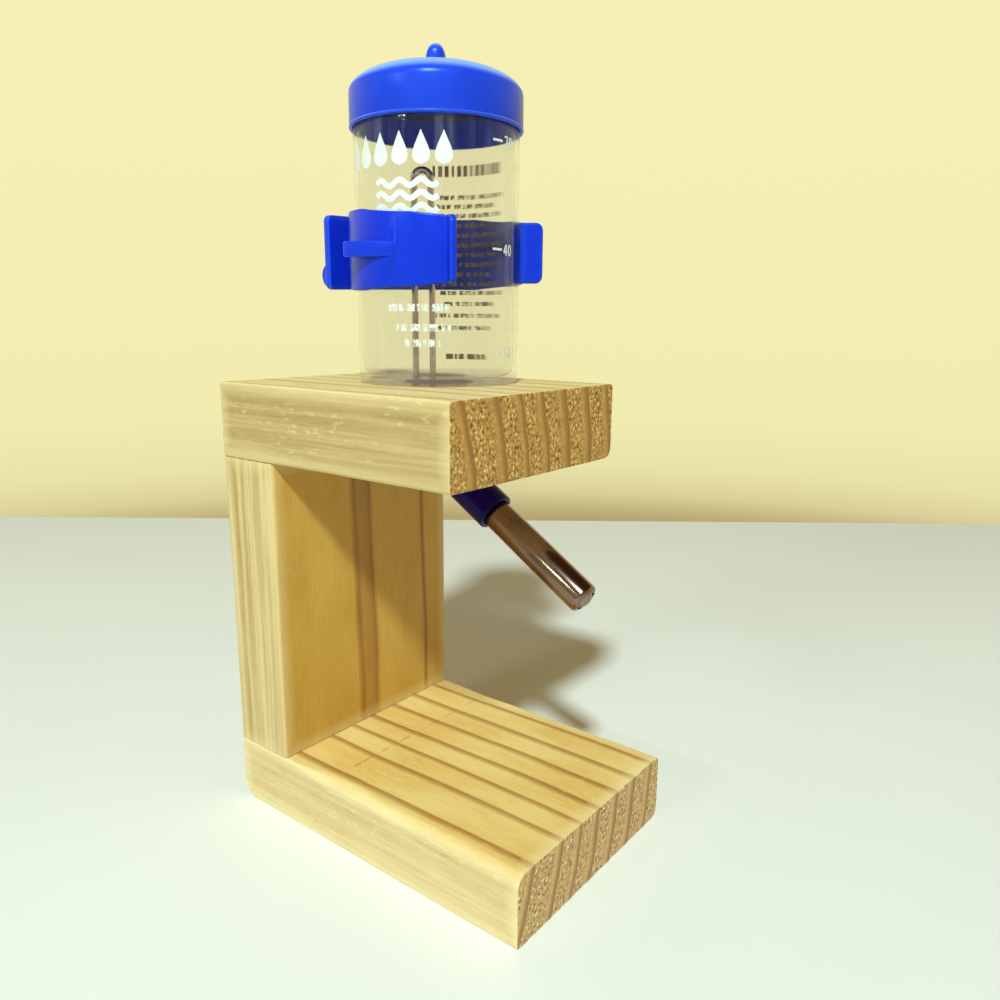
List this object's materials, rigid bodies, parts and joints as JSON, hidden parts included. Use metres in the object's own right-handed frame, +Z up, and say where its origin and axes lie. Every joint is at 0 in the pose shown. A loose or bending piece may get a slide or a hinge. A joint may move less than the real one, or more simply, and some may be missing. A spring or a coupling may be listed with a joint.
{
  "type": "small-animal water bottle stand",
  "caption": "Clear drinking bottle with a push-on lid and a C-shaped clip, standing on a C-shaped wooden stand, its angled steel ball-valve spout over the base.",
  "frame": {"origin": "on the underside of the base board, under the middle of the stand's footprint", "axes": "+Z up, -Y towards the side that the spout points to, X across the boards"},
  "size_m": [0.064, 0.097, 0.1982],
  "materials": {
    "pine": "planed and lightly sanded, unsealed",
    "dowel_wood": "raw",
    "screw_steel": "zinc plated",
    "clear_plastic": "clear, glossy",
    "blue_plastic": "moulded, satin gloss",
    "seal_rubber": "matt",
    "tube_steel": "polished stainless steel",
    "ball_steel": "polished",
    "wire_steel": "drawn wire"
  },
  "bodies": {
    "stand": {"base_board": "pine", "post_board": "pine", "top_board": "pine", "base_screw_left": "screw_steel", "base_screw_right": "screw_steel", "top_dowel_left": "dowel_wood", "top_dowel_right": "dowel_wood"},
    "bottle": {"bottle_body": "clear_plastic", "outlet_elbow": "blue_plastic", "outlet_washer": "seal_rubber", "outlet_wire": "wire_steel", "drink_tube": "tube_steel"},
    "lid_seal": {"lid_gasket": "seal_rubber"},
    "lid_cap": {"lid": "blue_plastic"},
    "clip": {"bottle_clip": "blue_plastic"},
    "front_ball": {"ball_front": "ball_steel"},
    "rear_ball": {"ball_rear": "ball_steel"}
  },
  "joints": [
    {"name": "bottle_turn", "type": "hinge", "parent": "stand", "child": "bottle", "pos_m": [0.0073, 0.0083, 0.1172], "axis": [0, 0, 1], "range_deg": [-100, 100]},
    {"name": "lid_turn", "type": "hinge", "parent": "bottle", "child": "lid_seal", "pos_m": [0.0073, 0.0083, 0.1852], "axis": [0, 0, 1], "continuous": true},
    {"name": "lid_lift", "type": "slide", "parent": "lid_seal", "child": "lid_cap", "axis": [0, 0, 1], "range_m": [0, 0.02]},
    {"name": "clip_slide", "type": "slide", "parent": "bottle", "child": "clip", "axis": [0, 0, 1], "range_m": [-0.022, 0.018]},
    {"name": "ball_push", "type": "slide", "parent": "bottle", "child": "front_ball", "axis": [0, 0.8434, 0.5373], "range_m": [0, 0.003]},
    {"name": "rear_ball_push", "type": "slide", "parent": "bottle", "child": "rear_ball", "axis": [0, 0.8434, 0.5373], "range_m": [0, 0.003]}
  ],
  "couplings": [
    {"joint": "rear_ball_push", "follows": "ball_push", "ratio": 1}
  ]
}
